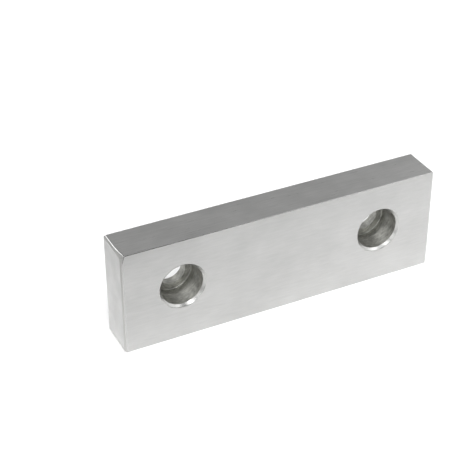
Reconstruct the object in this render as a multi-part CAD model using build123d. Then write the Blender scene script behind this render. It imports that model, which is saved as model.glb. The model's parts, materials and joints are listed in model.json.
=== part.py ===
from build123d import *

import os

# Machinable soft jaw: an aluminium vise jaw plate, one solid bar with two counterbored screw holes.
# X runs along the bar, Y from the clamping face (-Y) to the mounting face (+Y), Z up. The origin is
# the middle of the bottom face. All sizes are in millimetres.

# Bar, skimmed all round from flat stock
LENGTH = 155.0
HEIGHT = 50.5
THICKNESS = 18.75

# Edge breaks: the edges round the cut ends are filed, the long edges and the mounting side only stoned
FILED_EDGE_BREAK = 0.8
STONED_EDGE_BREAK = 0.2

# The left end's upper front corner, where the file strokes over its two edges went deeper and met.
# IN is their reach along the bar at the corner. Each stroke's RUN is how far along its own edge it
# would come out, and its TURN is how far it reaches round that edge onto the end.
CORNER_IN = 1.9
TOP_STROKE_RUN = 13.4
TOP_STROKE_TURN = 1.1
FRONT_STROKE_RUN = 7.0
FRONT_STROKE_TURN = 1.1

# Screw holes, for M12 or 1/2 inch socket head cap screws with their heads below the clamping face
HOLE_COUNT = 2
HOLE_SPACING = 98.4
HOLE_HEIGHT = 26.9
SCREW_BORE_DIAMETER = 13.5
COUNTERBORE_DIAMETER = 20.0
COUNTERBORE_DEPTH = 13.0
COUNTERBORE_FLOOR_RADIUS = 0.4
HEAD_MOUTH_CHAMFER = 1.2
SCREW_MOUTH_CHAMFER = 1.6


def broken_outline(width: float, height: float, low_break: float, high_break: float) -> Sketch:
    """A rectangle with its corners chamfered, its lower two by low_break and its upper two by high_break."""
    outline = Rectangle(width, height)
    outline = chamfer(outline.vertices().group_by(Axis.Y)[0], low_break)
    return chamfer(outline.vertices().group_by(Axis.Y)[-1], high_break)


def make_bar() -> Part:
    """The plain bar: its three outlines, each extruded through the others, so every edge is broken."""
    plan = broken_outline(LENGTH, THICKNESS, FILED_EDGE_BREAK, STONED_EDGE_BREAK)
    elevation = broken_outline(LENGTH, HEIGHT, FILED_EDGE_BREAK, FILED_EDGE_BREAK)
    section = broken_outline(THICKNESS, HEIGHT, STONED_EDGE_BREAK, STONED_EDGE_BREAK)
    bar = extrude(Plane.XY * plan, HEIGHT / 2, both=True)
    bar &= extrude(Plane.XZ * elevation, THICKNESS / 2, both=True)
    bar &= extrude(Plane.YZ * section, LENGTH / 2, both=True)
    return Pos(0, 0, HEIGHT / 2) * bar


def file_corner(bar: Part, back: float, down: float) -> Part:
    """The bar after one file stroke over its upper front corner at the left end.

    The stroke leaves a flat that cuts the corner's three edges CORNER_IN along, back and down from it.
    """
    corner = Vector(-LENGTH / 2, -THICKNESS / 2, HEIGHT)
    along_edge = corner + Vector(CORNER_IN, 0, 0)
    back_edge = corner + Vector(0, back, 0)
    down_edge = corner - Vector(0, 0, down)
    outward = (back_edge - along_edge).cross(down_edge - along_edge)
    return split(bar, bisect_by=Plane(origin=along_edge, z_dir=outward), keep=Keep.BOTTOM)


def make_hole_cutter() -> Part:
    """One counterbored hole as a solid of revolution, along +Y from its mouth at y = 0."""
    head_radius = COUNTERBORE_DIAMETER / 2
    bore_radius = SCREW_BORE_DIAMETER / 2
    outline = Polyline(
        (0, 0),
        (head_radius + HEAD_MOUTH_CHAMFER, 0),
        (head_radius, HEAD_MOUTH_CHAMFER),
        (head_radius, COUNTERBORE_DEPTH),
        (bore_radius, COUNTERBORE_DEPTH),
        (bore_radius, THICKNESS - SCREW_MOUTH_CHAMFER),
        (bore_radius + SCREW_MOUTH_CHAMFER, THICKNESS),
        (0, THICKNESS),
        close=True,
    )
    half_section = make_face(outline)
    floor_corner = half_section.vertices().sort_by_distance((head_radius, COUNTERBORE_DEPTH))[0]
    half_section = fillet(floor_corner, COUNTERBORE_FLOOR_RADIUS)
    return revolve(half_section, axis=Axis.Y)


def make_jaw() -> Part:
    """The finished jaw, with its holes spaced evenly about the middle of the bar."""
    jaw = file_corner(make_bar(), back=TOP_STROKE_RUN, down=TOP_STROKE_TURN)
    jaw = file_corner(jaw, back=FRONT_STROKE_TURN, down=FRONT_STROKE_RUN)
    cutter = make_hole_cutter()
    first_x = -HOLE_SPACING * (HOLE_COUNT - 1) / 2
    for index in range(HOLE_COUNT):
        jaw -= Pos(first_x + index * HOLE_SPACING, -THICKNESS / 2, HOLE_HEIGHT) * cutter
    return jaw


os.makedirs("parts", exist_ok=True)
export_step(make_jaw(), "parts/soft_jaw.step")
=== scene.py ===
"""Machinable soft jaw: a plain aluminium vise jaw plate with two counterbored holes, in a white studio."""

import json
import logging
import math
from dataclasses import dataclass, field
from enum import Enum
from itertools import combinations, product

import bmesh
import bpy
from mathutils import Matrix, Vector


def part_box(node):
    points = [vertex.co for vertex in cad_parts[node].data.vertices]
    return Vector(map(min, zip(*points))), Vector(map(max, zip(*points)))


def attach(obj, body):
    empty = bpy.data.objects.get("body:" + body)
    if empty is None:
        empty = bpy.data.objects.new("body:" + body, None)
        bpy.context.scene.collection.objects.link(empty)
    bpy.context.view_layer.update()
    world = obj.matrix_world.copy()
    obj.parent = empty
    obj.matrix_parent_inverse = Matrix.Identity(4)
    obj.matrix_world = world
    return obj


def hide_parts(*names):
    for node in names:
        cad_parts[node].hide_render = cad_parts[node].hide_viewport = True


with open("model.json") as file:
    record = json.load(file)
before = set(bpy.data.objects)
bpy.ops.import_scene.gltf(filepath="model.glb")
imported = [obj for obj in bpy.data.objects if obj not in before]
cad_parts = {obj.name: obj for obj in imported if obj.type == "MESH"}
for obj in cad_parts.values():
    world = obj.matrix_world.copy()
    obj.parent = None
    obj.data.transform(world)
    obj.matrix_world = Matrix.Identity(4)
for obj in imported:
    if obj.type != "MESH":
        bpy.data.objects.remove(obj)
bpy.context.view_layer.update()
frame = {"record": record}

MM = 0.001
NODE = "soft_jaw"
NOISE_PEAKS = (0.3, 0.7)  # a noise pattern's usual lowest and highest values
SAME_WAY = 0.9999  # the cosine over which two directions count as one
UP, FRONT, BACK = Vector((0, 0, 1)), Vector((0, -1, 0)), Vector((0, 1, 0))
log = logging.getLogger("soft_jaw")


def linear(hex_colour: str) -> tuple[float, ...]:
    """Turns an sRGB hex colour into linear light.

    Args:
        hex_colour: The colour as "#RRGGBB".

    Returns:
        Red, green, blue and an alpha of 1.
    """
    channels = [int(hex_colour[start:start + 2], 16) / 255 for start in (1, 3, 5)]
    return (*(((c + 0.055) / 1.055) ** 2.4 if c > 0.04045 else c / 12.92 for c in channels), 1.0)


def add_node(tree: bpy.types.NodeTree, kind: str, inputs: dict[str | int, object] | None = None,
             **settings: object) -> bpy.types.Node:
    """Adds a node with its settings, its values and its links.

    Args:
        tree: The node tree that gets the node.
        kind: The node's type name.
        inputs: For each input, by name or number, a plain value or the output socket that feeds it.
        settings: Attributes to set on the node before its inputs are filled.

    Returns:
        The new node.
    """
    node = tree.nodes.new(kind)
    for name, value in settings.items():
        setattr(node, name, value)
    for key, value in (inputs or {}).items():
        if isinstance(value, bpy.types.NodeSocket):
            tree.links.new(value, node.inputs[key])
        else:
            node.inputs[key].default_value = value
    return node


class Lay(Enum):
    """Which way the tool marks run on a surface."""

    LENGTHWISE = "along the jaw"
    UPRIGHT = "up the sawn end"
    TURNED = "round the axis of a screw hole"


@dataclass(frozen=True)
class MachinedAluminium:
    """A machined surface of the aluminium bar: bare metal drawn over with tool marks.

    Attributes:
        name: The material's name.
        lay: Which way the tool marks run.
        colour: The metal's sRGB colour.
        roughness: The mean roughness.
        mark_width: Width of a tool mark, in mm.
        mark_length: Length of a tool mark, in mm.
        mark_shade: How much the shade varies from mark to mark, as a share.
        mark_gloss: How much the roughness varies from mark to mark.
        mark_depth: Height of the bump that the marks make, in mm.
        hair_fineness: How many times finer the hairlines across the marks are.
        hair_share: How much of the pattern they make up.
        haze_size: Size of the cloudy patches left by handling, in mm.
        haze_shade: How much the shade varies from patch to patch, as a share.
        painted_shade_per_mm: How much darker the metal is painted for each mm of height, as a share:
            painted shade, standing in for the dimmer reflections towards the top.
    """

    name: str
    lay: Lay
    colour: str
    roughness: float
    mark_width: float = 0.8
    mark_length: float = 9.0
    mark_shade: float = 0.06
    mark_gloss: float = 0.05
    mark_depth: float = 0.002
    hair_fineness: float = 3.0
    hair_share: float = 0.4
    haze_size: float = 14.0
    haze_shade: float = 0.03
    painted_shade_per_mm: float = 0.0045

    def build(self, hole_offset: float, hole_height: float) -> bpy.types.Material:
        """Makes the material.

        Args:
            hole_offset: Distance of each hole's axis from the middle of the jaw, in metres.
            hole_height: Height of the holes' axes, in metres.

        Returns:
            The material.
        """
        material = bpy.data.materials.new(self.name)
        material.use_nodes = True
        tree = material.node_tree
        tree.nodes.clear()
        place = add_node(tree, "ShaderNodeTexCoord").outputs["Object"]
        marks = self._marks(tree, self._mark_space(tree, place, hole_offset, hole_height))
        haze = add_node(tree, "ShaderNodeTexNoise", {"Vector": place, "Scale": 1 / (self.haze_size * MM)})
        clouds = spread(tree, haze.outputs[0], 1.0, self.haze_shade)
        shade = add_node(tree, "ShaderNodeMath",
                         {0: spread(tree, marks, 1.0, self.mark_shade), 1: clouds}, operation="MULTIPLY")
        # Painted shade: the colour darkens with height, standing in for dimmer reflections towards the top
        height = add_node(tree, "ShaderNodeSeparateXYZ", {0: place}).outputs[2]
        painted_height_shade = add_node(tree, "ShaderNodeMath",
                         {0: height, 1: -self.painted_shade_per_mm / MM, 2: 1.0 + self.painted_shade_per_mm * hole_height / MM},
                         operation="MULTIPLY_ADD")
        shade = add_node(tree, "ShaderNodeMath", {0: shade.outputs[0], 1: painted_height_shade.outputs[0]},
                         operation="MULTIPLY")
        colour = add_node(tree, "ShaderNodeVectorMath",
                          {0: linear(self.colour)[:3], "Scale": shade.outputs[0]}, operation="SCALE")
        bump = add_node(tree, "ShaderNodeBump", {"Distance": self.mark_depth * MM, "Height": marks})
        shader = add_node(tree, "ShaderNodeBsdfPrincipled",
                          {"Base Color": colour.outputs[0], "Metallic": 1.0,
                           "Roughness": spread(tree, marks, self.roughness, self.mark_gloss),
                           "Normal": bump.outputs[0]})
        add_node(tree, "ShaderNodeOutputMaterial", {"Surface": shader.outputs[0]})
        return material

    def _marks(self, tree: bpy.types.NodeTree, space: bpy.types.NodeSocket) -> bpy.types.NodeSocket:
        """Adds the pattern of tool marks, broad ones crossed by hairlines.

        Args:
            tree: The material's node tree.
            space: Coordinates that grow by one for each tool mark.

        Returns:
            The socket with the pattern.
        """
        broad = add_node(tree, "ShaderNodeTexNoise", {"Vector": space, "Scale": 1.0, "Detail": 1.0})
        hair = add_node(tree, "ShaderNodeTexNoise",
                        {"Vector": space, "Scale": self.hair_fineness, "Detail": 3.0})
        both = add_node(tree, "ShaderNodeMix",
                        {"Factor": self.hair_share, "A": broad.outputs[0], "B": hair.outputs[0]})
        return both.outputs[0]

    def _mark_space(self, tree: bpy.types.NodeTree, place: bpy.types.NodeSocket,
                    hole_offset: float, hole_height: float) -> bpy.types.NodeSocket:
        """Adds coordinates that grow by one for each tool mark, along it and across it.

        Args:
            tree: The material's node tree.
            place: The object coordinates, in metres.
            hole_offset: Distance of each hole's axis from the middle of the jaw, in metres.
            hole_height: Height of the holes' axes, in metres.

        Returns:
            The socket with the coordinates.
        """
        along, across = 1 / (self.mark_length * MM), 1 / (self.mark_width * MM)
        if self.lay is Lay.LENGTHWISE:
            return add_node(tree, "ShaderNodeMapping",
                            {"Vector": place, "Scale": (along, across, across)}).outputs[0]
        if self.lay is Lay.UPRIGHT:
            return add_node(tree, "ShaderNodeMapping",
                            {"Vector": place, "Scale": (across, across, along)}).outputs[0]
        parts = add_node(tree, "ShaderNodeSeparateXYZ", {0: place})
        beside = add_node(tree, "ShaderNodeMath", {0: parts.outputs[0]}, operation="ABSOLUTE")
        beside = add_node(tree, "ShaderNodeMath", {0: beside.outputs[0], 1: hole_offset},
                          operation="SUBTRACT")
        above = add_node(tree, "ShaderNodeMath", {0: parts.outputs[2], 1: hole_height},
                         operation="SUBTRACT")
        flat = add_node(tree, "ShaderNodeCombineXYZ", {0: beside.outputs[0], 1: above.outputs[0]})
        radius = add_node(tree, "ShaderNodeVectorMath", {0: flat.outputs[0]}, operation="LENGTH")
        depth = add_node(tree, "ShaderNodeMath", {0: parts.outputs[1], 1: radius.outputs["Value"]},
                         operation="SUBTRACT")
        turned = add_node(tree, "ShaderNodeCombineXYZ",
                          {0: beside.outputs[0], 1: depth.outputs[0], 2: above.outputs[0]})
        return add_node(tree, "ShaderNodeMapping",
                        {"Vector": turned.outputs[0], "Scale": (along, across, along)}).outputs[0]


def spread(tree: bpy.types.NodeTree, pattern: bpy.types.NodeSocket, mean: float,
           reach: float) -> bpy.types.NodeSocket:
    """Spreads a noise pattern evenly about a mean.

    Args:
        tree: The node tree.
        pattern: The pattern, centred on a half.
        mean: The value where the pattern is a half.
        reach: How far the value goes to either side at the pattern's usual peaks.

    Returns:
        The socket with the value.
    """
    return add_node(tree, "ShaderNodeMapRange",
                    {"Value": pattern, "From Min": NOISE_PEAKS[0], "From Max": NOISE_PEAKS[1],
                     "To Min": mean - reach, "To Max": mean + reach}).outputs[0]


# Each finish is 6061 aluminium alloy. What the tool left on it sets how it meets the light, and each is
# painted darker towards the top as painted shade.
# Real tool marks are about 0.1 mm wide, which is too fine to show, so they are drawn as coarse as they need
# to be.

# Fly-cut, then drawn along fine abrasive: a soft grey sheen with faint streaks and broad clouds
FACE = MachinedAluminium("flycut_aluminium_face", Lay.LENGTHWISE, "#B6B6B5", 0.32,
                         mark_length=7.0, mark_shade=0.05, mark_gloss=0.04, mark_depth=0.001,
                         haze_size=18.0, haze_shade=0.045)

# Skimmed with the side of a mill: plainer lengthwise lines
SIDE = MachinedAluminium("skimmed_aluminium_side", Lay.LENGTHWISE, "#B6B6B5", 0.32,
                         mark_length=12.0, mark_shade=0.09, mark_depth=0.001, haze_shade=0.07)

# Linished across the saw cut: an even satin with a few clouds, with stronger painted shade darkening it
# towards the top
END = MachinedAluminium("linished_aluminium_end", Lay.UPRIGHT, "#B4B4B3", 0.36,
                        mark_length=5.0, mark_shade=0.07, haze_size=8.0, haze_shade=0.09, painted_shade_per_mm=0.008)

# Cut by an end mill: rings of feed marks round the hole, and light scattered by a rougher wall; its colour
# is darker than the faces', painted shade inside the hole
BORE = MachinedAluminium("endmilled_aluminium_bore", Lay.TURNED, "#A9A9A4", 0.5,
                         mark_width=0.7, mark_length=2.0, mark_shade=0.4, mark_depth=0.02,
                         haze_size=4.0, haze_shade=0.16)

# Turned off by a countersink: brighter and finer rings
MOUTH = MachinedAluminium("countersunk_aluminium_mouth", Lay.TURNED, "#B8B8B6", 0.29,
                          mark_width=0.3, mark_length=4.0)

# Filed by hand: a dull flat with strokes along the edge
FILED = MachinedAluminium("filed_aluminium_edge", Lay.LENGTHWISE, "#B0B0AE", 0.5,
                          mark_width=0.4, mark_length=3.0)

# Rolled over by the file and rubbed by hands: a thin bright line where it catches a lamp
BURNISHED = MachinedAluminium("burnished_aluminium_edge", Lay.LENGTHWISE, "#B6B6B5", 0.18,
                              mark_width=0.4, mark_length=3.0, mark_depth=0.0005)


def place_mesh(name: str, mesh: bmesh.types.BMesh) -> bpy.types.Object:
    """Puts a finished mesh in the scene and frees it.

    Args:
        name: The object's name.
        mesh: The mesh, in the scene's own coordinates.

    Returns:
        The object.
    """
    data = bpy.data.meshes.new(name)
    mesh.to_mesh(data)
    mesh.free()
    piece = bpy.data.objects.new(name, data)
    bpy.context.scene.collection.objects.link(piece)
    return piece


@dataclass
class ScrewHole:
    """A counterbored screw hole through the jaw, as a section turned about its axis.

    Attributes:
        x: Place of the axis along the jaw, in metres, as every length here.
        z: Height of the axis.
        front_y: Place of the clamping face.
        back_y: Place of the mounting face.
        head_radius: Radius of the counterbore.
        bore_radius: Radius of the screw bore.
        head_wall: Where the counterbore's plain wall starts and ends.
        bore_wall: Where the screw bore's plain wall starts and ends.
        edge_round: Radius left on the edges that the tools cut.
        mouth_round: Radius that rubbing left on the counterbore's edge with the clamping face.
        steps: Number of facets round the hole.
    """

    x: float
    z: float
    front_y: float
    back_y: float
    head_radius: float
    bore_radius: float
    head_wall: tuple[float, float]
    bore_wall: tuple[float, float]
    edge_round: float = 0.12 * MM
    mouth_round: float = 0.6 * MM
    steps: int = 160

    @classmethod
    def from_mounts(cls, mounts: dict, side: str, front_y: float, back_y: float) -> "ScrewHole":
        """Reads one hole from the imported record's mounts.

        Args:
            mounts: The record's mounts by name.
            side: "left" or "right".
            front_y: Place of the clamping face.
            back_y: Place of the mounting face.

        Returns:
            The hole.
        """
        head, bore = mounts[f"{side}_counterbore"], mounts[f"{side}_screw_bore"]
        walls = []
        for mount in (head, bore):
            middle, half = mount["pos_m"][1], mount["dims"]["length_mm"] * MM / 2
            walls.append((middle - half, middle + half))
        return cls(head["pos_m"][0], head["pos_m"][2], front_y, back_y, head["dims"]["r_mm"] * MM,
                   bore["dims"]["r_mm"] * MM, *walls)

    def section(self) -> list[tuple[float, float, MachinedAluminium]]:
        """Works out the hole's section from the clamping face to the mounting face.

        Returns:
            Points as radius, place along Y and the finish of the surface that follows.
        """
        mouth = self.head_radius + self.head_wall[0] - self.front_y
        far_mouth = self.bore_radius + self.back_y - self.bore_wall[1]
        floor_y = self.bore_wall[0]
        floor_round = floor_y - self.head_wall[1]
        corners = [
            ((mouth, self.front_y), self.mouth_round, MOUTH),
            ((self.head_radius, self.head_wall[0]), self.edge_round, BORE),
            ((self.head_radius, floor_y), floor_round, BORE),
            ((self.bore_radius, floor_y), self.edge_round, BORE),
            ((self.bore_radius, self.bore_wall[1]), self.edge_round, MOUTH),
            ((far_mouth, self.back_y), self.edge_round, FACE),
        ]
        margin = self.mouth_round
        places = [(mouth + margin, self.front_y), *(corner[0] for corner in corners),
                  (far_mouth + margin, self.back_y)]
        points = []
        for (corner, radius, finish), before, after in zip(corners, places, places[2:]):
            points += [(r, y, finish) for r, y in rounded_corner(corner, before, after, radius)]
        return points

    def rings(self, mesh: bmesh.types.BMesh, finishes: list[MachinedAluminium]
              ) -> tuple[list[bmesh.types.BMVert], list[bmesh.types.BMVert]]:
        """Adds the hole's surface to the mesh.

        Args:
            mesh: The mesh.
            finishes: The finishes in the order of the material slots.

        Returns:
            The vertices of the front rim and those of the back rim.
        """
        rings = []
        for radius, y, finish in self.section():
            ring = []
            for step in range(self.steps):
                angle = 2 * math.pi * step / self.steps
                ring.append(mesh.verts.new((self.x + radius * math.cos(angle), y,
                                            self.z + radius * math.sin(angle))))
            rings.append((ring, finish))
        for (near, finish), (far, _) in zip(rings, rings[1:]):
            for step in range(self.steps):
                after = (step + 1) % self.steps
                face = mesh.faces.new((near[step], near[after], far[after], far[step]))
                face.smooth = True
                face.material_index = finishes.index(finish)
        return rings[0][0], rings[-1][0]


def rounded_corner(corner: tuple[float, float], before: tuple[float, float],
                   after: tuple[float, float], radius: float, steps: int = 4) -> list[tuple[float, float]]:
    """Rounds one corner of an outline.

    Args:
        corner: The sharp corner.
        before: A point on the run that leads to it.
        after: A point on the run that leads away.
        radius: The rounding's radius.
        steps: Number of straight pieces that stand for the arc.

    Returns:
        The arc's points, from the first run to the second.
    """
    tip = Vector(corner)
    back, onward = (Vector(before) - tip).normalized(), (Vector(after) - tip).normalized()
    half_angle = back.angle(onward) / 2
    reach = radius / math.tan(half_angle)
    centre = tip + (back + onward).normalized() * (radius / math.sin(half_angle))
    start, end = tip + back * reach - centre, tip + onward * reach - centre
    return [tuple(centre + start.lerp(end, step / steps).normalized() * radius)
            for step in range(steps + 1)]


@dataclass(frozen=True)
class Stroke:
    """One flat that a tool cut across an edge or a corner of the bar.

    Attributes:
        point: A point on the flat's inner border, in metres.
        outward: The flat's outward direction.
        finish: What the tool left on it.
    """

    point: Vector
    outward: Vector
    finish: MachinedAluminium

    def cut(self, mesh: bmesh.types.BMesh) -> None:
        """Cuts the flat on a convex solid.

        Args:
            mesh: The solid.
        """
        bmesh.ops.bisect_plane(mesh, geom=[*mesh.verts, *mesh.edges, *mesh.faces], plane_co=self.point,
                               plane_no=self.outward, clear_outer=True)
        bmesh.ops.contextual_create(mesh, geom=[edge for edge in mesh.edges if edge.is_boundary])

    def rolled_border(self, side: Vector, reach: float, steps: int = 3) -> list["Stroke"]:
        """Works out the narrow flats that stand for the metal rolled over at the inner border.

        Args:
            side: Outward direction of the bar's side that meets the border.
            reach: How far the rounding reaches to either side of the border.
            steps: Number of narrow flats.

        Returns:
            The narrow flats, each touching one arc.
        """
        turn = side.angle(self.outward)
        across = (self.outward - side * self.outward.dot(side)).normalized()
        radius = reach / math.tan(turn / 2)
        centre = self.point - across * reach - side * radius
        flats = []
        for step in range(1, steps + 1):
            angle = turn * step / (steps + 1)
            outward = side * math.cos(angle) + across * math.sin(angle)
            flats.append(Stroke(centre + outward * radius, outward, BURNISHED))
        return flats


@dataclass
class JawBar:
    """The plain bar: its edges broken by stone and file, and its corner filed over two edges.

    Attributes:
        low: Lowest corner of the bar's box, in metres, as every length here.
        high: Highest corner of the bar's box.
        filed_break: Width of the breaks on the filed edges round the ends.
        stoned_round: Radius that the stone left on the other edges.
        corner_in: Reach along the bar of the deeper strokes at the left end's upper front corner.
        top_stroke: How far back and how far down the stroke over the top edge cuts the corner's edges.
        front_stroke: How far back and how far down the stroke over the front edge cuts them.
        rolled_reach: How far the rounding reaches that the file left along its flats' inner borders.
        merge_reach: Corners of the mesh that are closer together than this become one.
    """

    low: Vector
    high: Vector
    filed_break: float = 0.8 * MM
    stoned_round: float = 0.3 * MM
    corner_in: float = 1.9 * MM
    top_stroke: tuple[float, float] = (13.4 * MM, 1.1 * MM)
    front_stroke: tuple[float, float] = (1.1 * MM, 7.0 * MM)
    rolled_reach: float = 0.4 * MM
    merge_reach: float = 0.001 * MM

    def build(self, finishes: list[MachinedAluminium]) -> bmesh.types.BMesh:
        """Makes the bar with its broken edges.

        Args:
            finishes: The finishes in the order of the material slots.

        Returns:
            The bar, with a finish on each face.
        """
        mesh = bmesh.new()
        bmesh.ops.create_cube(mesh, size=1.0)
        placing = Matrix.LocRotScale((self.high + self.low) / 2, None, self.high - self.low)
        bmesh.ops.transform(mesh, matrix=placing, verts=mesh.verts)
        strokes = self._edge_strokes() + self._corner_strokes()
        for stroke in strokes:
            stroke.cut(mesh)
        bmesh.ops.remove_doubles(mesh, verts=mesh.verts, dist=self.merge_reach)
        bmesh.ops.recalc_face_normals(mesh, faces=mesh.faces)
        flats = [(stroke.outward, stroke.finish) for stroke in strokes] + self._sides()
        for face in mesh.faces:
            _, finish = max(flats, key=lambda flat: flat[0].dot(face.normal))
            face.material_index = finishes.index(finish)
            face.smooth = True
        return mesh

    def _sides(self) -> list[tuple[Vector, MachinedAluminium]]:
        """Lists the outward direction and the finish of the bar's six sides.

        Returns:
            Pairs of a direction and a finish.
        """
        sides = []
        for axis, finish in enumerate((END, FACE, SIDE)):
            for way in (1, -1):
                outward = Vector()
                outward[axis] = way
                sides.append((outward, finish))
        return sides

    def _edge_strokes(self) -> list[Stroke]:
        """Works out the flats along the bar's twelve edges.

        The edges round the ends are filed, but for those of the mounting face. The others are only stoned.

        Returns:
            The flats.
        """
        half, middle = (self.high - self.low) / 2, (self.high + self.low) / 2
        strokes = []
        for first, second in combinations(range(3), 2):
            for ways in product((-1, 1), repeat=2):
                edge, end, side = middle.copy(), Vector(), Vector()
                end[first], side[second] = ways
                for axis, way in zip((first, second), ways):
                    edge[axis] += way * half[axis]
                if first == 0 and side.y < 1:
                    filed = Stroke(edge - end * self.filed_break, (end + side).normalized(), FILED)
                    strokes += [filed] + filed.rolled_border(side, self.rolled_reach)
                else:
                    strokes += Stroke(edge, end, END).rolled_border(side, self.stoned_round)
        return strokes

    def _corner_strokes(self) -> list[Stroke]:
        """Works out the two deeper flats at the left end's upper front corner.

        Returns:
            The flats, each followed by those of its rolled border.
        """
        along = Vector((self.corner_in, 0, 0))
        corner = Vector((self.low.x, self.low.y, self.high.z))
        strokes = []
        for side, (back, down) in ((UP, self.top_stroke), (FRONT, self.front_stroke)):
            outward = (Vector((0, back, 0)) - along).cross(Vector((0, 0, -down)) - along)
            filed = Stroke(corner + along, outward.normalized(), FILED)
            strokes += [filed] + filed.rolled_border(side, self.rolled_reach)
        return strokes


@dataclass
class SoftJaw:
    """The jaw: the bar with its two screw holes, as one closed piece.

    Attributes:
        bar: The plain bar.
        holes: The two screw holes.
        finishes: The finishes in the order of the material slots.
        smooth_limit: Cosine of the sharpest turn between two faces that is shaded as a rounding.
    """

    bar: JawBar
    holes: list[ScrewHole]
    finishes: list[MachinedAluminium] = field(
        default_factory=lambda: [FACE, SIDE, END, BORE, MOUTH, FILED, BURNISHED])
    smooth_limit: float = math.cos(math.radians(30))

    def build(self) -> bpy.types.Object:
        """Makes the jaw's mesh and dresses it.

        Returns:
            The finished piece, which stands for the jaw's node.
        """
        mesh = self.bar.build(self.finishes)
        self._cut_holes(mesh)
        piece = place_mesh("jaw_bar", mesh)
        right_hole = self.holes[1]
        for finish in self.finishes:
            piece.data.materials.append(finish.build(right_hole.x, right_hole.z))
        self._shade_evenly(piece.data)
        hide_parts(NODE)
        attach(piece, "root")
        return piece

    def _cut_holes(self, mesh: bmesh.types.BMesh) -> None:
        """Opens the screw holes in the clamping face and the mounting face.

        Args:
            mesh: The bar, which gets the holes' walls.
        """
        rims = [hole.rings(mesh, self.finishes) for hole in self.holes]
        for side, outward in enumerate((FRONT, BACK)):
            flat = max((face for face in mesh.faces if face.normal.dot(outward) > SAME_WAY),
                       key=lambda face: face.calc_area())
            edges = list(flat.edges)
            bmesh.ops.delete(mesh, geom=[flat], context="FACES_ONLY")
            for rim in rims:
                ring = rim[side]
                edges += [mesh.edges.get(ends) for ends in zip(ring, ring[1:] + ring[:1])]
            filled = bmesh.ops.triangle_fill(mesh, edges=edges, use_beauty=True, normal=outward)["geom"]
            for face in (item for item in filled if isinstance(item, bmesh.types.BMFace)):
                face.smooth = True
                face.material_index = self.finishes.index(FACE)
        bmesh.ops.recalc_face_normals(mesh, faces=mesh.faces)

    def _shade_evenly(self, mesh: bpy.types.Mesh) -> None:
        """Shades the large flats evenly up to their borders, and smoothly over the roundings between them.

        Args:
            mesh: The finished mesh.
        """
        around = [[] for _ in mesh.vertices]
        for face in mesh.polygons:
            for vertex in face.vertices:
                around[vertex].append(face)
        normals = []
        for face in mesh.polygons:
            for vertex in face.vertices:
                smooth = [near for near in around[vertex]
                          if near.normal.dot(face.normal) > self.smooth_limit]
                total = sum((near.normal * (near.area / MM) ** 2 for near in smooth), Vector())
                normals.append(total.normalized())
        mesh.normals_split_custom_set(normals)


@dataclass(frozen=True)
class Softbox:
    """A rectangular studio light.

    Attributes:
        name: What the light is for.
        place: Where it stands, in metres.
        width: Its width, in metres.
        height: Its height, in metres.
        power: Its power, in watts.
        aim: The point that it faces, in metres.
    """

    name: str
    place: tuple[float, float, float]
    width: float
    height: float
    power: float
    aim: tuple[float, float, float] = (0.0, 0.0, 0.02)

    def build(self) -> bpy.types.Object:
        """Makes the light and aims it.

        Returns:
            The light.
        """
        light = bpy.data.lights.new(self.name, "AREA")
        light.shape = "RECTANGLE"
        light.size, light.size_y = self.width, self.height
        light.energy = self.power
        lamp = bpy.data.objects.new(self.name, light)
        lamp.location = self.place
        lamp.visible_camera = False
        lamp.rotation_euler = (Vector(self.aim) - lamp.location).to_track_quat("-Z", "Y").to_euler()
        bpy.context.scene.collection.objects.link(lamp)
        return lamp


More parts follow.
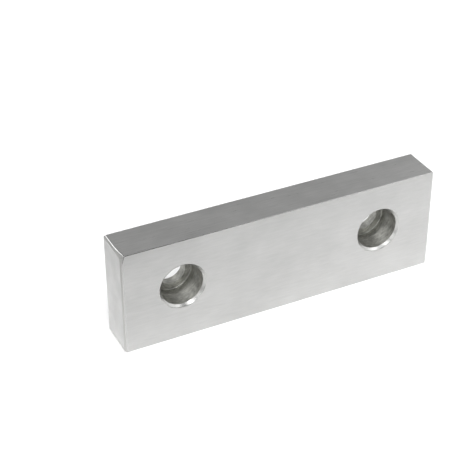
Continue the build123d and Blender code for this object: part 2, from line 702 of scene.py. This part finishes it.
@dataclass
class Studio:
    """The white studio: a pale floor, softboxes and the camera.

    Attributes:
        lens: The camera's focal length, in mm, on a 36 mm sensor.
        eye: Where the camera stands, in mm.
        aim: The point on its axis, in mm.
        roll: How far it leans, in degrees.
        floor_colour: The paper's sRGB colour.
        floor_near: How far the paper reaches from the jaw's middle towards the camera, in metres.
        floor_left: How far it reaches to the camera's left, in metres.
        floor_far: How far it reaches to the right and away from the camera, in metres.
        paper_thickness: The paper's thickness, in metres.
        bench_colour: The sRGB colour of the bench under the paper.
        sheet_roughness: The roughness of both.
        surround: The sRGB grey of the room above the floor.
    """

    lens: float = 105.395
    eye: tuple[float, float, float] = (-233.65, -432.13, 361.64)
    aim: tuple[float, float, float] = (-24.48, 0.0, 45.73)
    roll: float = -0.325
    floor_colour: str = "#F8F8F8"
    floor_near: float = 0.107
    floor_left: float = 0.5
    floor_far: float = 1.6
    paper_thickness: float = 0.15 * MM
    bench_colour: str = "#B4B4B4"
    sheet_roughness: float = 0.9
    surround: str = "#767676"
    softboxes: tuple[Softbox, ...] = (
        Softbox("key_softbox", (-0.25, -0.5, 0.85), 0.4, 0.4, 5.7),
        Softbox("low_front_softbox", (-0.45, -0.95, 0.3), 1.0, 0.5, 2.4),
        Softbox("left_softbox", (-1.0, -0.1, 0.6), 1.0, 0.9, 7.0),
        Softbox("right_softbox", (1.0, 0.1, 0.6), 0.8, 0.8, 4.1),
        Softbox("high_right_softbox", (0.6, -0.3, 0.9), 0.6, 0.6, 2.2),
        Softbox("right_snoot", (0.12, -0.12, 0.15), 0.14, 0.14, 0.056, aim=(0.07, -0.05, 0.0)),
        Softbox("far_right_snoot", (0.17, -0.06, 0.1), 0.09, 0.09, 0.034, aim=(0.1, -0.03, 0.0)),
        Softbox("low_right_card", (0.9, -0.14, 0.08), 0.4, 0.16, 0.25),
        Softbox("back_strip", (-0.25, 0.9, 0.77), 0.45, 0.25, 1.38),
        Softbox("back_left_softbox", (-0.7, 0.95, 0.45), 0.6, 0.5, 1.2),
        Softbox("back_softbox", (0.5, 1.1, 0.85), 0.9, 0.6, 0.92),
        Softbox("back_right_softbox", (1.1, 0.7, 0.7), 0.6, 0.6, 1.75),
        Softbox("background_softbox", (0.0, 0.1, 0.3), 0.4, 0.1, 0.35, aim=(0.2, 0.7, 0.15)),
    )

    def build(self) -> None:
        """Builds the floor, the room's light, the softboxes and the camera."""
        self._floor()
        self._room()
        for softbox in self.softboxes:
            softbox.build()
        self._camera()
        bpy.context.scene.view_settings.view_transform = "Standard"

    def _floor(self) -> None:
        """Lays a sheet of pale paper under the jaw, its near edge just out of the picture, on a bench."""
        self._sheet("paper", self.floor_colour, self.floor_near, self.floor_left, 0.0)
        self._sheet("bench", self.bench_colour, self.floor_far, self.floor_far, -self.paper_thickness)

    def _sheet(self, name: str, colour: str, near: float, left: float, height: float) -> None:
        """Lays a level sheet, square to the camera.

        Args:
            name: What the sheet is.
            colour: Its sRGB colour.
            near: How far it reaches from the jaw's middle towards the camera, in metres.
            left: How far it reaches to the camera's left, in metres.
            height: Its height, in metres.
        """
        far = self.floor_far
        heading = Vector(self.aim[:2]) - Vector(self.eye[:2])
        turn = Matrix.Rotation(heading.angle_signed(Vector((0, 1))), 3, "Z")
        mesh = bmesh.new()
        mesh.faces.new([mesh.verts.new(turn @ Vector((*corner, height)))
                        for corner in ((-left, -near), (far, -near), (far, far), (-left, far))])
        sheet = place_mesh(name, mesh)
        material = bpy.data.materials.new(f"pale_{name}")
        material.use_nodes = True
        shader = material.node_tree.nodes["Principled BSDF"]
        shader.inputs["Base Color"].default_value = linear(colour)
        shader.inputs["Roughness"].default_value = self.sheet_roughness
        sheet.data.materials.append(material)

    def _room(self) -> None:
        """Fills the room with even grey light."""
        world = bpy.data.worlds.new("studio_room")
        world.use_nodes = True
        world.node_tree.nodes["Background"].inputs["Color"].default_value = linear(self.surround)
        bpy.context.scene.world = world

    def _camera(self) -> None:
        """Sets up the camera at the photograph's viewpoint."""
        camera = bpy.data.objects.new("camera", bpy.data.cameras.new("camera"))
        camera.data.lens = self.lens
        eye, aim = Vector(self.eye) * MM, Vector(self.aim) * MM
        level = (aim - eye).to_track_quat("-Z", "Y").to_matrix().to_4x4()
        lean = Matrix.Rotation(math.radians(self.roll), 4, "Z")
        camera.matrix_world = Matrix.Translation(eye) @ level @ lean
        camera.data.clip_start = 0.01
        bpy.context.scene.collection.objects.link(camera)
        bpy.context.scene.camera = camera


def main() -> None:
    """Builds the jaw and the studio round it."""
    logging.basicConfig(level=logging.INFO, format="%(name)s: %(message)s")
    low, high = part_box(NODE)
    mounts = {mount["name"]: mount for mount in frame["record"]["mounts"]}
    holes = [ScrewHole.from_mounts(mounts, side, low.y, high.y) for side in ("left", "right")]
    piece = SoftJaw(JawBar(low, high), holes).build()
    log.info("%s has %d faces and %d finishes", piece.name, len(piece.data.polygons),
             len(piece.data.materials))
    Studio().build()
    log.info("the studio is lit by %d softboxes", len(Studio.softboxes))


if __name__ == "__main__":
    main()
